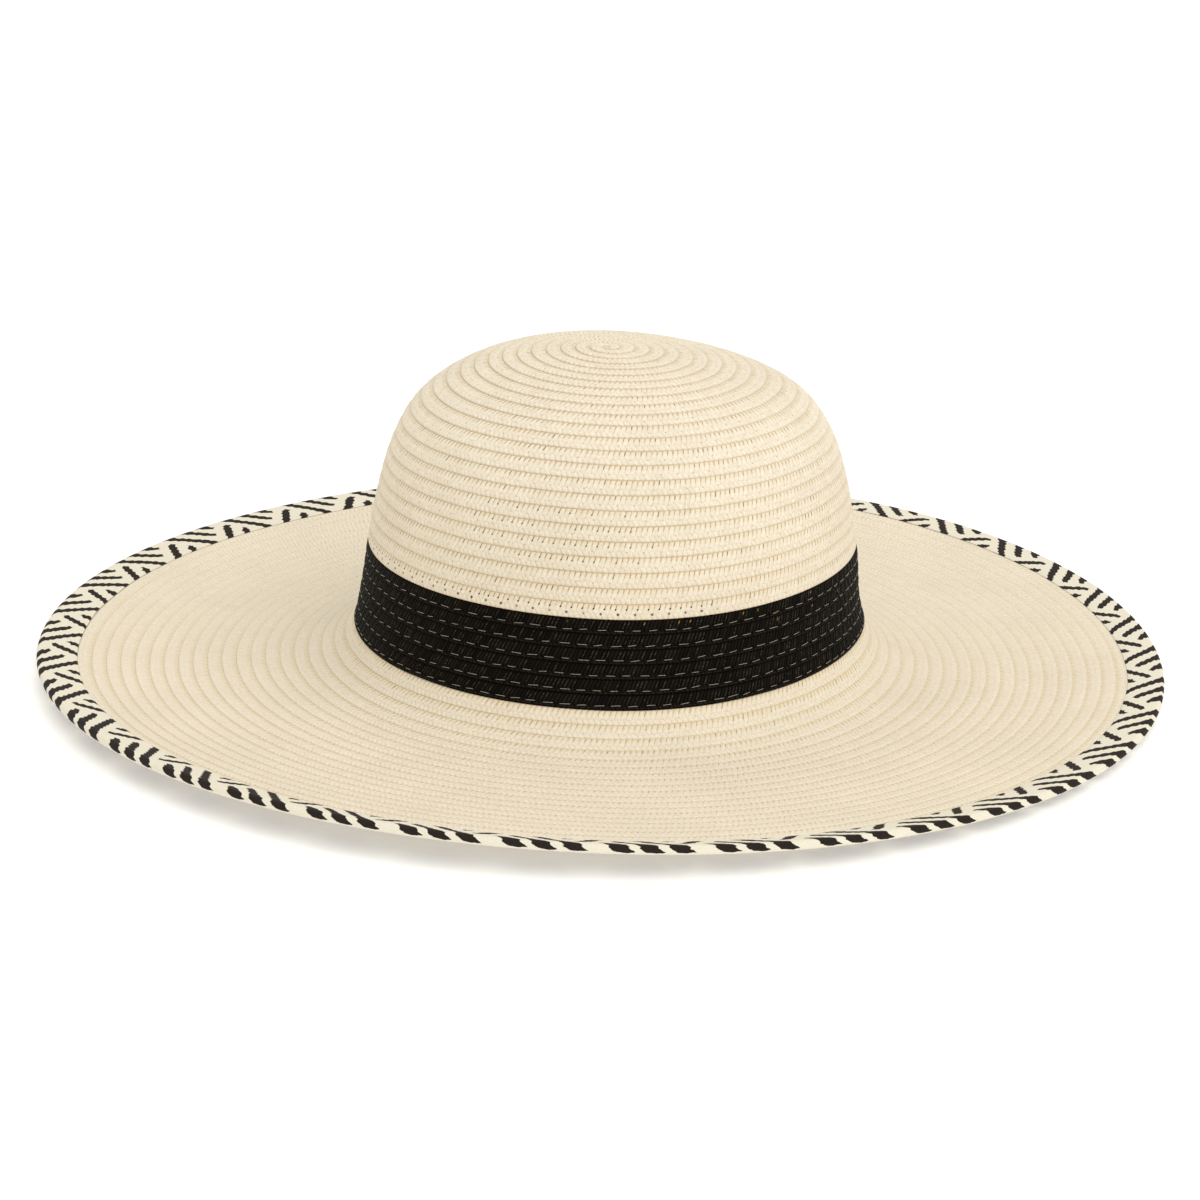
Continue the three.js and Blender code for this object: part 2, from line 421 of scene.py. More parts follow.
# The binding is one strip of cloth folded over the edge. Its section runs from the inner edge on
# top, over the nose, back below, and round the slot that holds the straw. out is the distance
# from the inner edge, and offset is the distance off the outer wall.
TRIM_TOP = {
    "out": [0, 0.08, 0.45, 1.3, 3.5, 6.5, 9.5],
    "offset": [0.16, 0.22, 0.31, 0.42, 0.54, 0.58, 0.6],
}
TRIM_BELOW = {
    "out": [9.8, 7.5, 3.5, 1.2, 0.3, 0.04, 0],
    "offset": [-2.34, -2.06, -1.96, -1.93, -1.91, -1.87, -1.8],
}
TRIM_SLOT = {
    "out": [0.0, 10.6, 11.4, 11.4, 10.6],
    "offset": [-1.75, -1.72, -1.3, -0.2, 0.2],
}
NOSE_RADIUS = 1.55
NOSE_CENTRE = BRIM_EDGE - 1.95
NOSE_OFFSET = -0.95
NOSE_STEP = 18
TRIM_COLUMNS = 720

# The inner edge wanders: a little further out on the right, and by a sway of many small waves.
INNER_OUT = 0.4
INNER_OUT_RIGHT = 0.65
INNER_SWAY = 0.22
INNER_FADE = 3.5
SWAY_SEED = 11
SWAY_WAVES = (3, 40)
SWAY_FALL = 0.7
SWAY_TURN = 6.28

# Repeats of the bars round the hat. MOTIF_ZERO is the share of the way round at repeat 0, and slip
# is how far the first bar of a repeat lies from its place in an even count.
MOTIFS = 39
MOTIF_ZERO = 0.6548
MOTIF_START = 0.155
MOTIF_SLIP = {
    "at": [-25.4, -24, -22, -21, -19.5, -18, -16, -14, -12, -10, -9, -7, -5, -3, -1, 0,
           7.7, 8.7, 9.6, 10.7, 11.7, 13.6],
    "slip": [-0.375, -0.33, -0.23, -0.17, -0.3, -0.35, -0.32, -0.26, -0.23, -0.3, -0.22, -0.1,
             -0.08, -0.14, -0.06, -0.075, -0.29, -0.33, -0.37, -0.31, -0.35, -0.375],
}

# The place across the binding: 0 at its inner edge on top, 1 at the very edge, 2 at its inner edge
# below, and this value in the slot.
SLOT_V = 2.1


def section_points(table):
    return [(BINDING_INNER + out, offset) for out, offset in zip(table["out"], table["offset"])]


def binding_section():
    """Points of the outer side, their places v, the slot's points and the top's width."""
    nose = []
    for degrees in range(90, -91, -NOSE_STEP):
        turn = math.radians(degrees)
        along = NOSE_CENTRE + NOSE_RADIUS * math.cos(turn)
        nose.append((along, NOSE_OFFSET + NOSE_RADIUS * math.sin(turn)))
    outer = np.array(section_points(TRIM_TOP) + nose + section_points(TRIM_BELOW))
    path = np.concatenate([[0], np.cumsum(np.hypot(*np.diff(outer, axis=0).T))])
    return outer, path / path[-1] * 2, np.array(section_points(TRIM_SLOT)), path[-1] / 2


def inner_edge(angle):
    """How far the binding's inner edge lies off its even circle."""
    rng = np.random.default_rng(SWAY_SEED)
    sway = np.zeros_like(angle)
    for waves in range(*SWAY_WAVES):
        size = rng.normal() / waves ** SWAY_FALL
        sway += size * np.cos(waves * angle + rng.uniform(0, SWAY_TURN))
    sway = sway / np.abs(sway).max()
    return INNER_OUT + INNER_OUT_RIGHT * np.cos(angle) + INNER_SWAY * sway


def motif_round(angle):
    """Count of the chevron's repeats at each angle."""
    arc = lengths_along(on_wall(BRIM_EDGE, angle, -WALL / 2))
    motif = MOTIFS * (arc / arc[-1] - MOTIF_ZERO) + MOTIF_START
    return motif - np.interp(motif, MOTIF_SLIP["at"], MOTIF_SLIP["slip"]) + MOTIFS


def edge_binding():
    outer, place, slot, _ = binding_section()
    section = np.concatenate([outer, slot])
    angle = np.arange(TRIM_COLUMNS + 1) / TRIM_COLUMNS * 2 * math.pi - math.pi
    fade = np.clip(1 - (section[None, :, 0] - BINDING_INNER) / INNER_FADE, 0, 1)
    along = section[None, :, 0] + inner_edge(angle)[:, None] * fade
    points = on_wall(along, angle[:, None], section[None, :, 1] + np.zeros_like(along))
    motif = motif_round(angle)
    ring = len(section)
    v = np.concatenate([place, np.full(len(slot), SLOT_V)])
    i = np.repeat(np.arange(TRIM_COLUMNS), ring)
    j = np.tile(np.arange(ring), TRIM_COLUMNS)
    next_i, next_j = i + 1, (j + 1) % ring
    next_v = np.where(next_j == 0, SLOT_V, v[next_j])
    here, ahead = i * ring, (next_i % TRIM_COLUMNS) * ring
    quads = np.stack([here + j, here + next_j, ahead + next_j, ahead + j], -1)
    zero = np.zeros(len(i))
    corners = np.stack([
        np.stack([motif[i], v[j], zero], -1),
        np.stack([motif[i], next_v, zero], -1),
        np.stack([motif[next_i], next_v, zero], -1),
        np.stack([motif[next_i], v[j], zero], -1),
    ], 1)
    return make_object("edge_binding", points[:-1].reshape(-1, 3), quads.tolist(), corners.reshape(-1, 3))


# Clear thread runs along the seam of each black row. A stitch rises out of its first needle hole,
# lies on the straw and goes down into the next: stop is the share of its length.
THREAD_SEED = 19
THREAD_RADIUS = 0.09
THREAD_SIDES = 6
THREAD = {
    "stop": [0, 0.08, 0.3, 0.7, 0.92, 1.0],
    "lift": [-0.5, -0.04, 0.16, 0.16, -0.04, -0.5],
}
THREAD_CLEAR = 0.05
THREAD_DRIFT = (-0.14, 0.14)
THREAD_TILT = (-0.1, 0.45)
THREAD_BOW = (0.7, 1.15)
SMOOTH_HALF = 7


def unit(vectors):
    return vectors / np.linalg.norm(vectors, axis=1, keepdims=True)


def seam_line():
    """The seam's smoothed line along the black braid, with its outward and downward directions."""
    j = int(np.searchsorted(BAND_V, STITCH_AT))
    part = (STITCH_AT - BAND_V[j - 1]) / (BAND_V[j] - BAND_V[j - 1])
    low, high = band_points[:, j - 1], band_points[:, j]
    line = low + (high - low) * part
    window = 2 * SMOOTH_HALF + 1
    for axis in range(3):
        smooth = np.convolve(line[:, axis], np.ones(window) / window, "valid")
        line[SMOOTH_HALF:-SMOOTH_HALF, axis] = smooth
    down = unit(band_points[:, -2] - band_points[:, 2])
    ahead = unit(np.gradient(line, axis=0))
    return line, unit(np.cross(down, ahead)), down


def thread_faces(base):
    """Faces of one stitch, a closed tube whose points start at base."""
    faces = []
    rings = len(THREAD["stop"])
    for r in range(rings - 1):
        for side in range(THREAD_SIDES):
            a = base + r * THREAD_SIDES + side
            b = base + r * THREAD_SIDES + (side + 1) % THREAD_SIDES
            faces.append((a, a + THREAD_SIDES, b + THREAD_SIDES, b))
    faces.append([base + side for side in range(THREAD_SIDES)])
    last = base + (rings - 1) * THREAD_SIDES
    faces.append([last + side for side in range(THREAD_SIDES)][::-1])
    return faces


def band_stitches():
    rng = np.random.default_rng(THREAD_SEED)
    tracks = seam_line()
    turns = np.arange(THREAD_SIDES) / THREAD_SIDES * 2 * math.pi
    points, faces = [], []
    for start, length in STITCHES[STITCHES.sum(1) < band_run[-1] - 1]:
        drift = rng.uniform(*THREAD_DRIFT)
        tilt = rng.uniform(*THREAD_TILT)
        bow = rng.uniform(*THREAD_BOW)
        faces += thread_faces(len(points))
        for stop, lift in zip(THREAD["stop"], THREAD["lift"]):
            where = start + stop * length
            centre, out, down = (
                np.array([np.interp(where, band_run, track[:, axis]) for axis in range(3)])
                for track in tracks
            )
            aside = drift - tilt * (stop - 0.5)
            centre = centre + (out * (lift * bow + THREAD_CLEAR) + down * aside) * MM
            for turn in turns:
                spoke = out * math.cos(turn) + down * math.sin(turn)
                points.append(centre + spoke * THREAD_RADIUS * MM)
    return make_object("band_stitches", np.array(points), faces, None)


# Steps round each turn of the spiral, and the first turn of each piece.
CROWN_COLUMNS = 360
BAND_COLUMNS = 1180
BRIM_COLUMNS = 440
FIRST_BAND_TURN = 25
FIRST_BRIM_TURN = 31
LAST_TURN = 51
PIECE_GAP = 0.02

crown, _, crown_run = braid_wall("crown_braid", 0, FIRST_BAND_TURN - 1, CROWN_COLUMNS, lift_by=CROWN_LIFT)
merge_centre(crown)
STITCHES = plan_stitches(crown_run[-1])
band, band_points, band_run = braid_wall(
    "band_braid", FIRST_BAND_TURN, FIRST_BRIM_TURN - 1, BAND_COLUMNS,
    start_run=crown_run[-1], start_gap=PIECE_GAP, across=BAND_V, relief=black_relief,
)
brim, _, _ = braid_wall(
    "brim_braid", FIRST_BRIM_TURN, LAST_TURN, BRIM_COLUMNS,
    start_run=band_run[-1], start_gap=PIECE_GAP, lift_by=BRIM_LIFT,
)
binding = edge_binding()
stitches = band_stitches()


class Shader:
    """A new material with short calls for its nodes."""

    def __init__(self, name):
        self.material = bpy.data.materials.new(name)
        self.material.use_nodes = True
        self.tree = self.material.node_tree
        self.surface = self.tree.nodes["Principled BSDF"]

    def node(self, kind, **settings):
        made = self.tree.nodes.new(kind)
        for key, value in settings.items():
            setattr(made, key, value)
        return made

    def plug(self, socket, value):
        if isinstance(value, bpy.types.NodeSocket):
            self.tree.links.new(value, socket)
        else:
            socket.default_value = value

    def give(self, name, value):
        """Sets or links a socket of the material's own surface."""
        self.plug(self.surface.inputs[name], value)

    def math(self, operation, *values):
        made = self.node("ShaderNodeMath", operation=operation)
        for socket, value in zip(made.inputs, values):
            self.plug(socket, value)
        return made.outputs[0]

    def add(self, a, b):
        return self.math("ADD", a, b)

    def sub(self, a, b):
        return self.math("SUBTRACT", a, b)

    def mul(self, a, b):
        return self.math("MULTIPLY", a, b)

    def most(self, a, b):
        return self.math("MAXIMUM", a, b)

    def above(self, a, b):
        return self.math("GREATER_THAN", a, b)

    def between(self, value, low, high):
        return self.mul(self.above(value, low), self.math("LESS_THAN", value, high))

    def wave(self, turns):
        """Size of a sine that meets zero at every whole number of turns."""
        return self.math("ABSOLUTE", self.math("SINE", self.mul(turns, math.pi)))

    def off(self, value, middle):
        return self.math("ABSOLUTE", self.sub(value, middle))

    def step(self, value, low, high, to_low=0.0, to_high=1.0):
        """Smooth step of value from low to high."""
        made = self.node("ShaderNodeMapRange", interpolation_type="SMOOTHSTEP")
        for socket, item in zip(made.inputs, (value, low, high, to_low, to_high)):
            self.plug(socket, item)
        return made.outputs[0]

    def mix(self, factor, a, b):
        made = self.node("ShaderNodeMix", data_type="RGBA")
        self.plug(made.inputs[0], factor)
        self.plug(made.inputs[6], a)
        self.plug(made.inputs[7], b)
        return made.outputs[2]

    def scale_colour(self, colour, value):
        made = self.node("ShaderNodeVectorMath", operation="SCALE")
        self.plug(made.inputs[0], colour)
        self.plug(made.inputs[3], value)
        return made.outputs[0]

    def vector(self, x=0.0, y=0.0, z=0.0):
        made = self.node("ShaderNodeCombineXYZ")
        for socket, value in zip(made.inputs, (x, y, z)):
            self.plug(socket, value)
        return made.outputs[0]

    def parts(self, vector):
        made = self.node("ShaderNodeSeparateXYZ")
        self.plug(made.inputs[0], vector)
        return made.outputs[0], made.outputs[1], made.outputs[2]

    def noise(self, where, scale, detail=2.0):
        made = self.node("ShaderNodeTexNoise")
        self.plug(made.inputs["Vector"], where)
        self.plug(made.inputs["Scale"], scale)
        self.plug(made.inputs["Detail"], detail)
        return made.outputs["Fac"]

    def chance(self, value):
        """One random number between 0 and 1 for each whole number that value falls in.

        Each use moves its value by an amount of its own, so that no two uses go together.
        """
        made = self.node("ShaderNodeTexWhiteNoise", noise_dimensions="1D")
        self.plug(made.inputs["W"], self.math("FLOOR", value))
        return made.outputs["Value"]

    def braid(self):
        """Run along the braid, share v of the row and row number."""
        made = self.node("ShaderNodeAttribute", attribute_type="GEOMETRY", attribute_name="braid")
        return self.parts(made.outputs["Vector"])

    def place(self):
        return self.node("ShaderNodeTexCoord").outputs["Object"]

    def vector_length(self, x, y):
        made = self.node("ShaderNodeVectorMath", operation="LENGTH")
        self.plug(made.inputs[0], self.vector(x, y))
        return made.outputs["Value"]

    def bump(self, height, distance, strength=1.0):
        made = self.node("ShaderNodeBump")
        self.plug(made.inputs["Height"], height)
        self.plug(made.inputs["Distance"], distance)
        self.plug(made.inputs["Strength"], strength)
        self.give("Normal", made.outputs[0])


def rgb(red, green, blue):
    """Linear colour from a display colour of 0 to 255."""
    def linear(value):
        value /= 255
        return value / 12.92 if value <= 0.04045 else ((value + 0.055) / 1.055) ** 2.4
    return (linear(red), linear(green), linear(blue), 1.0)


class Weave:
    """A flat plait: where the shaded point lies in the braid, and the strand it lies on.

    phase counts the strands, ridge is 1 on a strand's crest and 0 between two strands, centre is 0
    on the middle line, and lower is 1 below it.
    """

    def __init__(self, sh, strand, middle, lean):
        self.run, self.v, self.row = sh.braid()
        self.lower = sh.above(self.v, middle)
        above = sh.mul(sh.math("MINIMUM", self.v, middle), lean[0])
        below = sh.mul(sh.most(sh.sub(self.v, middle), 0.0), lean[1])
        phase = sh.sub(sh.add(sh.mul(self.run, 1 / strand), above), below)
        self.phase = sh.add(phase, sh.mul(self.lower, 0.5))
        self.ridge = sh.wave(self.phase)
        self.centre = sh.step(sh.off(self.v, middle), 0.0, 0.07)
        self.strand = strand


# The straw's own tones come first. The colours after them are painted shade: in the gaps between strands,
# under the row above, in the slits, along the row lines, and seen through the pinholes and needle holes.
CREAM = rgb(231, 217, 192)
PALE = rgb(248, 239, 222)
GAP_SHADE = rgb(212, 182, 132)
GROOVE_SHADE = rgb(221, 198, 146)
SLIT_SHADE_TAN = rgb(168, 124, 62)
SLIT_SHADE_DARK = rgb(100, 64, 30)
ROW_SHADOW = rgb(196, 160, 106)
HOLE_SHADE = rgb(44, 30, 16)
NEEDLE_HOLE_SHADE = rgb(120, 84, 44)
STRAW_MIDDLE = 0.62
STRAW_LEAN = (0.9, 1.0)
STRAW_BUMP = 0.00025

# Width of a row, where the round holes lie across it, and the needle holes' spacing.
ROW_MM = 5.19
HOLE_V = 0.34
NEEDLE_V = 0.66
NEEDLE_MM = 5.7

# Half-way marks between row numbers: they pick the last crown row, the front rows above it with
# wider holes, and the first rows of the brim.
LAST_CROWN_ROW = (23.5, 24.5)
OPEN_CROWN_ROWS = (17.5, 21.5)
FIRST_BRIM_ROWS = (30.5, 32.5)


# Where some marks end on the left, at -X, and on the right, at +X, in metres from the axis. Each
# pair is where a mark is gone and where it is full.
LAST_ROW_RIGHT = (0.045, 0.03)
OPEN_LEFT, OPEN_RIGHT = (-0.045, -0.035), (0.02, 0.008)
SLITS_LEFT, SLITS_RIGHT = (-0.13, -0.04), (0.13, 0.03)


def last_crown_row(sh, weave, x):
    return sh.mul(sh.between(weave.row, *LAST_CROWN_ROW), sh.step(x, *LAST_ROW_RIGHT))


def straw_shade(sh, weave, spot, each, under_row_shading, contrast):
    """Relief and plain colour of the cream strands, and painted shade in the shallow grooves between
    rows, under the row above, fuller towards the front.
    """
    _, y, _ = sh.parts(spot)
    fibre = sh.noise(sh.vector(sh.mul(weave.phase, 7.0), sh.mul(weave.v, 2.5), weave.row), 1.0, 3.0)
    patch = sh.noise(spot, 30.0, 3.0)
    plait = sh.mul(sh.math("POWER", weave.ridge, 0.6), sh.add(sh.mul(weave.centre, 0.3), 0.7))
    grain = sh.step(sh.noise(spot, 1300.0, 2.0), 0.36, 0.64)
    shade = sh.add(sh.mul(each, contrast), sh.add(sh.mul(fibre, 0.35), sh.mul(grain, 0.45)))
    height = sh.add(sh.mul(plait, 0.8), sh.add(sh.mul(fibre, 0.3), sh.mul(grain, 0.2)))
    sh.bump(height, STRAW_BUMP)
    tone = sh.mix(shade, CREAM, PALE)
    tone = sh.scale_colour(tone, sh.step(patch, 0.25, 0.75, 0.97, 1.02))
    pairs = sh.math("ABSOLUTE", sh.math("COSINE", sh.mul(weave.phase, math.pi / 2)))
    beads = sh.sub(1.0, sh.add(sh.mul(weave.ridge, 0.25), sh.mul(pairs, 0.5)))
    # Painted shade in the upper part of each row, where the row above overhangs it, fuller towards the
    # front.
    to_front = sh.step(y, 0.07, -0.03, 0.25, 1.0)
    under_row_shade = sh.mul(sh.mul(sh.step(weave.v, 0.46, 0.04), beads), to_front)
    sh.give("Roughness", sh.step(fibre, 0.3, 0.7, 0.6, 0.8))
    return sh.mix(sh.mul(under_row_shade, under_row_shading), tone, GROOVE_SHADE)


def straw_slit_shade(sh, weave, tone, other, strong, loose):
    """Painted shade in the gaps between the strands, and deeper painted shade in the slits along the
    upper part of each row.
    """
    gap = sh.step(weave.ridge, 0.42, 0.12)
    # Painted shade in the gaps between the strands, all over the row.
    tone = sh.mix(sh.mul(gap, 0.14), tone, GAP_SHADE)
    parity = sh.above(sh.math("FRACT", sh.mul(weave.phase, 0.5)), 0.5)
    window = sh.mul(sh.step(weave.v, 0.02, 0.09), sh.step(weave.v, 0.4, 0.24))
    amount = sh.mul(sh.add(sh.mul(parity, 0.4), 0.6), sh.add(sh.mul(other, 0.85), 0.4))
    painted_slit_shade = sh.mul(sh.mul(gap, window), sh.mul(amount, sh.step(loose, 0.3, 0.7, 0.55, 1.1)))
    # Painted shade in the slits, darker in some of them.
    return sh.mix(sh.mul(painted_slit_shade, strong), tone, sh.mix(sh.above(other, 0.92), SLIT_SHADE_TAN, SLIT_SHADE_DARK))


def straw_row_shadows(sh, weave, tone, x, row_shadows, loose):
    """Painted shadow along the ragged line where one row lies on the next, fainter on the right, where
    the light falls.
    """
    wander = sh.noise(sh.vector(sh.mul(weave.run, 0.7), weave.row), 1.0, 2.0)
    ragged = sh.add(sh.mul(sh.sub(wander, 0.5), 0.05), sh.mul(sh.sub(1.0, weave.ridge), 0.02))
    below = sh.step(sh.add(weave.v, ragged), 0.93, 0.99)
    above = sh.step(sh.sub(weave.v, ragged), 0.08, 0.02)
    fade = sh.mul(sh.step(x, 0.07, 0.0, 0.25, 1.0), sh.step(loose, 0.3, 0.7, 0.6, 1.0))
    line = sh.mul(sh.mul(sh.most(below, above), sh.sub(1.0, sh.mul(weave.ridge, 0.35))), fade)
    # The row lines are painted shadow.
    return sh.mix(sh.mul(line, row_shadows), tone, ROW_SHADOW)


def straw_round_holes(sh, weave, tone, x, other, holes):
    """Round pinholes at every second strand, wider in some rows of the front, painted dark as the shade
    seen through them.
    """
    along = sh.mul(sh.sub(sh.math("FRACT", sh.mul(weave.phase, 0.5)), 0.5), 2 * weave.strand)
    across = sh.mul(sh.sub(weave.v, HOLE_V), ROW_MM)
    hole = sh.step(sh.vector_length(along, across), 0.42, 0.2)
    front = sh.mul(sh.step(x, *OPEN_LEFT), sh.step(x, *OPEN_RIGHT))
    front_rows = sh.mul(sh.between(weave.row, *OPEN_CROWN_ROWS), front)
    first_rows = sh.between(weave.row, *FIRST_BRIM_ROWS)
    opened = sh.most(last_crown_row(sh, weave, x), sh.mul(first_rows, 0.45))
    opened = sh.most(sh.mul(front_rows, 0.5), opened)
    wanted = sh.step(sh.add(other, opened), 0.93, 1.0)
    return sh.mix(sh.mul(sh.mul(hole, wanted), sh.add(sh.mul(opened, 0.45), holes)), tone, HOLE_SHADE)


def straw_needle_holes(sh, weave, tone, x, strong):
    """Needle holes along the seam, painted as shade, wide and with deep painted shade in the last row of
    the crown.
    """
    along = sh.mul(sh.sub(sh.math("FRACT", sh.mul(weave.run, 1 / NEEDLE_MM)), 0.5), NEEDLE_MM)
    away = sh.vector_length(along, sh.mul(sh.sub(weave.v, NEEDLE_V), ROW_MM))
    tone = sh.mix(sh.mul(sh.step(away, 0.4, 0.12), sh.mul(strong, 0.35)), tone, NEEDLE_HOLE_SHADE)
    each = sh.chance(sh.add(sh.math("FLOOR", sh.mul(weave.run, 1 / NEEDLE_MM)), 300.5))
    wide = sh.mul(sh.step(away, 0.62, 0.28), sh.add(sh.mul(each, 0.55), 0.4))
    return sh.mix(sh.mul(wide, last_crown_row(sh, weave, x)), tone, HOLE_SHADE)


def straw_material(name, strand, slit_shading, slit_shading_at_sides, row_shadows, holes, under_row_shading, contrast):
    """Cream straw. The values say how strong each of its marks is, from 0 up; the slits, row lines, holes
    and grooves are painted shade.
    """
    sh = Shader(name)
    weave = Weave(sh, strand, STRAW_MIDDLE, STRAW_LEAN)
    spot = sh.place()
    x, _, _ = sh.parts(spot)
    each = sh.chance(sh.add(weave.phase, sh.mul(weave.lower, 4000.0)))
    other = sh.chance(sh.add(weave.phase, 9000.5))
    loose = sh.noise(sh.vector(sh.mul(weave.run, 0.06), weave.row, 3.0), 1.0, 2.0)
    # How strong the painted shade of the slits and needle holes is: full near the front, weaker at the
    # sides, and strong in the first rows of the brim.
    near_front = sh.mul(sh.step(x, *SLITS_LEFT), sh.step(x, *SLITS_RIGHT))
    away = sh.add(slit_shading_at_sides, sh.mul(near_front, 1 - slit_shading_at_sides))
    first_rows = sh.between(weave.row, *FIRST_BRIM_ROWS)
    strong = sh.most(sh.mul(away, slit_shading), sh.mul(first_rows, 0.8))
    tone = straw_shade(sh, weave, spot, each, under_row_shading, contrast)
    tone = straw_slit_shade(sh, weave, tone, other, strong, loose)
    tone = straw_row_shadows(sh, weave, tone, x, row_shadows, loose)
    tone = straw_round_holes(sh, weave, tone, x, other, holes)
    tone = straw_needle_holes(sh, weave, tone, x, strong)
    sh.give("Base Color", tone)
    sh.give("Specular IOR Level", 0.25)
    sh.give("Sheen Weight", 0.05)
    return sh.material


# The black braid's own tones, then painted shade, two painted highlights, and the cream braid seen
# through its gaps.
BLACK_SHADE = rgb(3, 2, 1)
BLACK_TONES = (rgb(6, 4, 1), rgb(23, 18, 10))
BLACK_HIGHLIGHT = rgb(84, 78, 64)
BLACK_ARC_HIGHLIGHT = rgb(70, 62, 50)
CREAM_BEHIND = rgb(190, 140, 50)


def black_specks(sh, weave, tone):
    """A few gaps of the two upper rows, right of the middle, where cream braid shows through."""
    some = sh.above(sh.chance(sh.add(weave.phase, 777.5)), 0.93)
    speck = sh.mul(some, sh.step(sh.off(weave.v, 0.25), 0.12, 0.05))
    upper_rows = sh.math("LESS_THAN", weave.row, 26.5)
    speck = sh.mul(sh.mul(speck, upper_rows), sh.step(weave.ridge, 0.4, 0.15))
    x, _, _ = sh.parts(sh.place())
    speck = sh.mul(speck, sh.step(x, -0.02, 0.0))
    return sh.mix(sh.mul(speck, 0.7), tone, CREAM_BEHIND)


def black_straw_material():
    sh = Shader("black_straw")
    weave = Weave(sh, BLACK_STRAND, BLACK_MIDDLE, BLACK_LEAN)
    run, v, row = weave.run, weave.v, weave.row
    fine = sh.add(sh.mul(weave.phase, 1.5), sh.mul(weave.lower, 0.3))
    each = sh.chance(sh.add(fine, sh.mul(weave.lower, 4000.0)))
    other = sh.chance(sh.add(fine, 7000.0))
    fibre = sh.noise(sh.vector(sh.mul(fine, 5.0), sh.mul(v, 1.5), row), 1.0, 2.0)
    crest = sh.wave(fine)
    height = sh.add(sh.mul(sh.math("POWER", crest, 0.7), 0.8), sh.mul(fibre, 0.25))
    sh.bump(height, 0.0003)
    tone = sh.mix(each, *BLACK_TONES)
    # Painted highlights on some strand crests, in leaf-shaped patches across the upper part of each row.
    crest_highlight = sh.mul(sh.step(crest, 0.8, 0.98), sh.step(other, 0.25, 0.9))
    patches = sh.noise(sh.vector(sh.mul(run, 0.8), sh.mul(v, 9.0), row), 1.0, 2.0)
    highlight_leaf = sh.mul(sh.mul(sh.step(v, 0.06, 0.18), sh.step(v, 0.66, 0.45)), sh.step(patches, 0.42, 0.62))
    tone = sh.mix(sh.mul(sh.mul(crest_highlight, highlight_leaf), 0.7), tone, BLACK_HIGHLIGHT)
    # Painted shade between the strands.
    tone = sh.mix(sh.step(crest, 0.5, 0.1), tone, BLACK_SHADE)
    # A faint painted highlight along the bulge of each row's lower edge, below the stitches.
    arc = sh.step(sh.off(v, 0.88), 0.05, 0.01)
    tone = sh.mix(sh.mul(arc, sh.mul(weave.ridge, 0.3)), tone, BLACK_ARC_HIGHLIGHT)
    # Painted shade along the upper and lower edges of each row, where the rows meet.
    edge = sh.most(sh.step(v, 0.94, 1.0), sh.step(v, 0.09, 0.0))
    tone = sh.mix(edge, tone, BLACK_SHADE)
    sh.give("Base Color", black_specks(sh, weave, tone))
    sh.give("Roughness", sh.step(crest, 0.3, 0.9, 0.8, 0.5))
    sh.give("Specular IOR Level", 0.07)
    return sh.material


# The chevron repeat. Each bar runs from one end to the other, and an end is a share of the repeat
# along the edge and millimetres in from the binding's inner edge. Width is a share of the repeat,
# and the last pair says over how many millimetres each end closes.
BARS = [
    {"from": (0.0, -0.5), "to": (0.524, 16.1), "width": 0.126, "close": (0, 0.6)},
    {"from": (-0.162, 3.8), "to": (0.238, 16.1), "width": 0.126, "close": (1.6, 0.6)},
    {"from": (-0.282, 8.7), "to": (-0.042, 16.1), "width": 0.13, "close": (1.6, 0.6)},
    {"from": (0.731, -0.5), "to": (0.50, 9.6), "width": 0.126, "close": (0, 1.4)},
    {"from": (0.41, -0.5), "to": (0.36, 4.6), "width": 0.115, "close": (0, 2.4)},
]
REPEAT_MM = 33
FOLD_MM = 17

# The bars look wider where the cloth rolls over the edge, over this stretch across the binding.
ROLL_FROM = 11.0
ROLL_TO = 13.6
ROLL_WIDER = 1.42

CLOTH_GROUND = (rgb(230, 221, 200), rgb(246, 240, 225))
CLOTH_DARK = (rgb(24, 18, 16), rgb(50, 42, 38))
CLOTH_INNER = rgb(170, 145, 110)
CLOTH_THREAD_MM = 0.75
RAGGED_MM = 2.2


def bar_mask(sh, s, t, wider, bar, wobble):
    """Mask of one slanting bar of the chevron repeat."""
    (s0, t0), (s1, t1) = bar["from"], bar["to"]
    middle = sh.add(sh.mul(sh.sub(t, t0), (s1 - s0) / (t1 - t0)), s0)
    away = sh.add(sh.sub(s, middle), wobble)
    away = sh.sub(sh.math("FRACT", sh.add(away, 0.5)), 0.5)
    width = sh.mul(wider, bar["width"] / 2)
    if bar["close"][0]:
        width = sh.mul(sh.step(t, t0, t0 + bar["close"][0]), width)
    if bar["close"][1]:
        width = sh.mul(sh.step(t, t1, t1 - bar["close"][1]), width)
    edge = sh.sub(width, sh.math("ABSOLUTE", away))
    return sh.mul(sh.step(edge, -0.005, 0.005), sh.between(t, t0, t1))


def chevron_bars(sh, s, x, y):
    """Mask of all the bars, with ragged edges where the weft threads turn back."""
    slow = sh.noise(sh.vector(x, y), 0.4, 2.0)
    uneven = sh.sub(slow, 0.5)
    t = sh.add(sh.sub(FOLD_MM, sh.off(FOLD_MM, y)), sh.mul(uneven, 0.9))
    thread = sh.math("SINE", sh.add(sh.mul(y, 2 * math.pi / RAGGED_MM), sh.mul(slow, 9.0)))
    wobble = sh.add(sh.mul(thread, 0.012), sh.mul(uneven, 0.035))
    wider = sh.step(y, ROLL_FROM, ROLL_TO, 1.0, ROLL_WIDER)
    bars = 0.0
    for bar in BARS:
        bars = sh.most(bars, bar_mask(sh, s, t, wider, bar, wobble))
    return bars


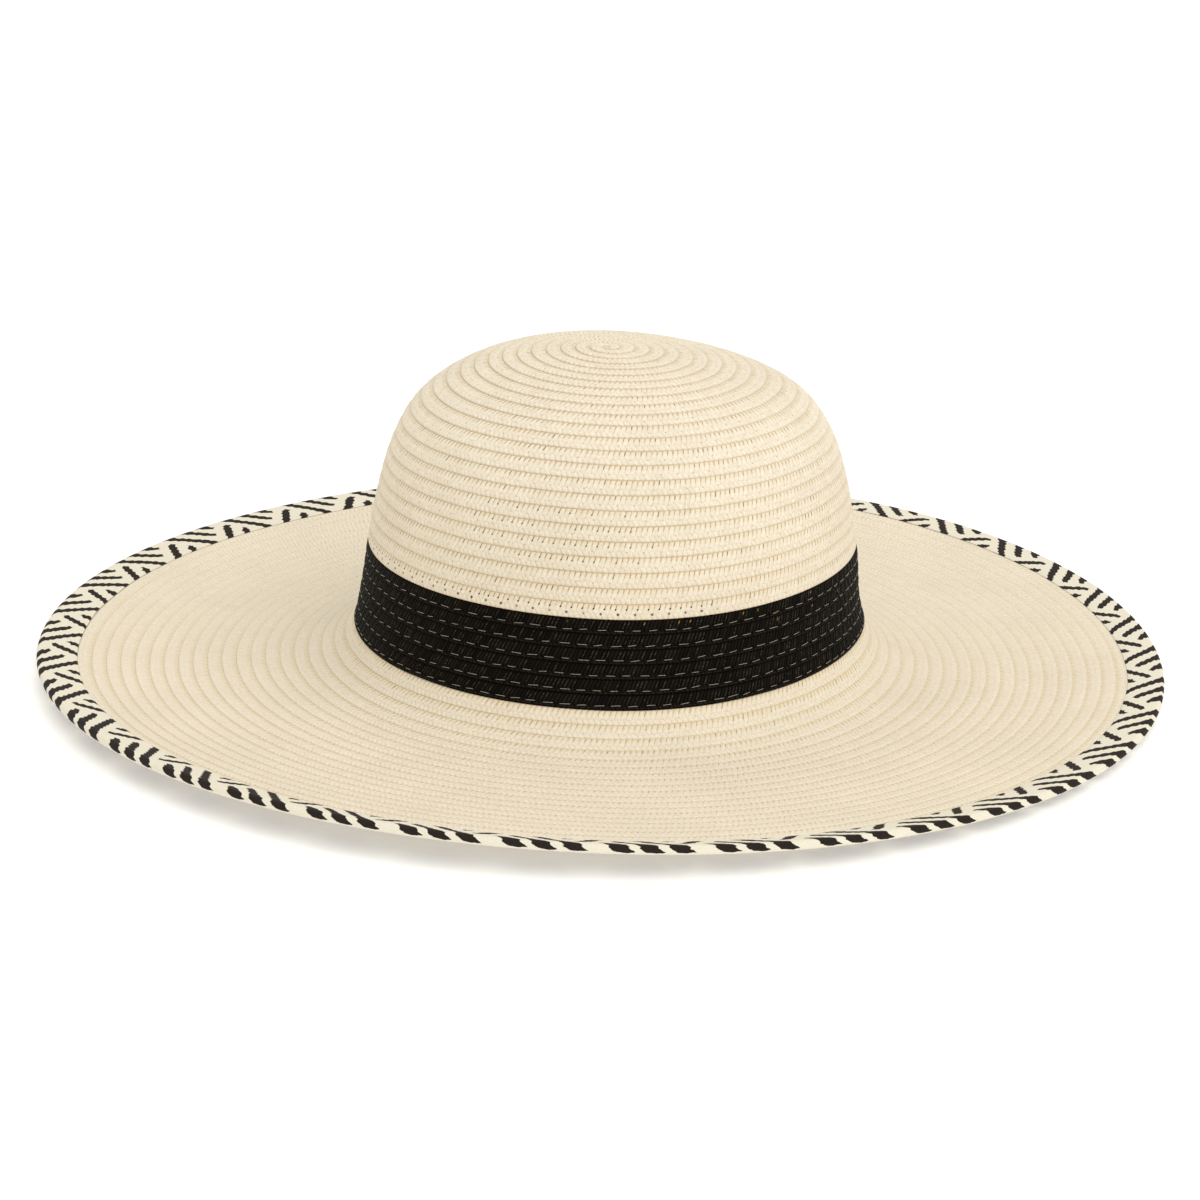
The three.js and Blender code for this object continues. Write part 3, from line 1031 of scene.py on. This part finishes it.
def binding_material():
    sh = Shader("chevron_binding")
    s, v, _ = sh.braid()
    _, _, _, half_width = binding_section()
    x = sh.mul(s, REPEAT_MM)
    y = sh.mul(v, half_width)
    bars = chevron_bars(sh, s, x, y)
    warp = sh.wave(sh.mul(x, 1 / CLOTH_THREAD_MM))
    weft = sh.wave(sh.mul(y, 1 / CLOTH_THREAD_MM))
    weave = sh.add(sh.mul(warp, 0.4), sh.mul(weft, 0.6))
    fluff = sh.noise(sh.vector(x, y, 3.0), 2.2, 3.0)
    height = sh.add(sh.add(sh.mul(weave, 0.35), sh.mul(bars, 0.5)), sh.mul(fluff, 0.3))
    sh.bump(height, 0.0003, 0.8)
    ground = sh.mix(fluff, *CLOTH_GROUND)
    ground = sh.scale_colour(ground, sh.add(sh.mul(weave, 0.08), 0.93))
    tone = sh.mix(bars, ground, sh.mix(fluff, *CLOTH_DARK))
    inner = sh.step(v, 0.035, 0.0)
    sh.give("Base Color", sh.mix(sh.mul(inner, 0.15), tone, CLOTH_INNER))
    sh.give("Roughness", 0.85)
    sh.give("Specular IOR Level", 0.15)
    sh.give("Sheen Weight", 0.03)
    return sh.material


THREAD_TONES = (rgb(104, 100, 90), rgb(204, 199, 188))


def thread_material():
    sh = Shader("clear_thread")
    fine = sh.noise(sh.place(), 3000.0, 1.0)
    sh.give("Base Color", sh.mix(fine, *THREAD_TONES))
    sh.give("Roughness", sh.step(fine, 0.3, 0.7, 0.15, 0.3))
    sh.give("Specular IOR Level", 0.5)
    return sh.material


# The marks' strengths, most of them painted shade in slits, row lines, holes and grooves.
crown.data.materials.append(straw_material(
    "cream_straw_crown", strand=1.835, slit_shading=1.1, slit_shading_at_sides=0.85,
    row_shadows=0.4, holes=0.55, under_row_shading=0.4, contrast=0.3,
))
brim.data.materials.append(straw_material(
    "cream_straw_brim", strand=1.95, slit_shading=0.7, slit_shading_at_sides=0.3,
    row_shadows=0.08, holes=0.12, under_row_shading=0.68, contrast=0.12,
))
band.data.materials.append(black_straw_material())
binding.data.materials.append(binding_material())
stitches.data.materials.append(thread_material())

for thing, node, slot in (
    (crown, "crown", "crown_straw"),
    (band, "band", "band_straw"),
    (brim, "brim", "brim_straw"),
    (binding, "edge_trim", "edge_binding"),
):
    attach(thing, "root")
    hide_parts(node)
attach(stitches, "root")

FLOOR_HALF = 8.0
FLOOR_GLOW = 0.26
LIGHT_DISTANCE = 3


def add_floor():
    """A plain pale floor, slightly lit by itself so that it comes out nearly white."""
    mesh = bpy.data.meshes.new("floor")
    corners = [(-1, -1), (1, -1), (1, 1), (-1, 1)]
    mesh.from_pydata([(x * FLOOR_HALF, y * FLOOR_HALF, 0) for x, y in corners], [], [(0, 1, 2, 3)])
    floor = bpy.data.objects.new("floor", mesh)
    bpy.context.scene.collection.objects.link(floor)
    sh = Shader("pale_floor")
    sh.give("Base Color", (0.9, 0.9, 0.9, 1))
    sh.give("Roughness", 0.9)
    sh.give("Emission Color", (1, 1, 1, 1))
    sh.give("Emission Strength", FLOOR_GLOW)
    mesh.materials.append(sh.material)


def add_sun(name, azimuth, elevation, spread, strength):
    """A soft distant light that comes from that azimuth, 0 at the front and 90 on the right."""
    data = bpy.data.lights.new(name, "SUN")
    data.angle = math.radians(spread)
    data.energy = strength
    light = bpy.data.objects.new(name, data)
    bpy.context.scene.collection.objects.link(light)
    a, e = math.radians(azimuth), math.radians(elevation)
    source = Vector((math.sin(a) * math.cos(e), -math.cos(a) * math.cos(e), math.sin(e)))
    light.location = source * LIGHT_DISTANCE
    light.rotation_mode = "QUATERNION"
    light.rotation_quaternion = (-source).to_track_quat("-Z", "Y")


def add_world(colour, strength):
    world = bpy.data.worlds.new("studio")
    bpy.context.scene.world = world
    world.use_nodes = True
    background = world.node_tree.nodes["Background"]
    background.inputs["Color"].default_value = colour
    background.inputs["Strength"].default_value = strength


add_floor()
add_sun("key", azimuth=40, elevation=48, spread=70, strength=1.12)
add_sun("top", azimuth=-150, elevation=70, spread=60, strength=0.5)
add_world(colour=(1, 0.975, 0.9, 1), strength=0.66)
bpy.context.scene.view_settings.view_transform = "Standard"

# The camera, fitted to the photograph before the hat's lean: degrees, millimetres and, for the
# lens, pixels of the photograph.
CAMERA_ELEVATION = 18.588
CAMERA_ROLL = 1.3957
CAMERA_DISTANCE = 1350
CAMERA_TARGET = np.array([-0.62, 0, -92.208])
CAMERA_LENS_PX = 3822.378
CAMERA_LEAN_Y = 0.163
PHOTO_PX = 1200
SENSOR_MM = 36


def add_camera():
    e, r = math.radians(CAMERA_ELEVATION), math.radians(CAMERA_ROLL)
    ahead = np.array([0, math.cos(e), -math.sin(e)])
    right = np.array([1.0, 0, 0])
    up = np.array([0, math.sin(e), math.cos(e)])
    place = CAMERA_TARGET - ahead * CAMERA_DISTANCE
    turned_right = right * math.cos(r) + up * math.sin(r)
    turned_up = up * math.cos(r) - right * math.sin(r)
    lean = turn_x(LEAN_ABOUT_X) @ turn_y(CAMERA_LEAN_Y)
    axes = lean @ np.stack([turned_right, turned_up, -ahead], 1)
    data = bpy.data.cameras.new("camera")
    data.lens = CAMERA_LENS_PX * SENSOR_MM / PHOTO_PX
    data.sensor_width = SENSOR_MM
    data.clip_start = 0.05
    data.clip_end = 60
    camera = bpy.data.objects.new("camera", data)
    bpy.context.scene.collection.objects.link(camera)
    matrix = np.eye(4)
    matrix[:3, :3] = axes
    matrix[:3, 3] = (lean @ place + PLACE) * MM
    camera.matrix_world = Matrix(matrix.tolist())
    bpy.context.scene.camera = camera


add_camera()
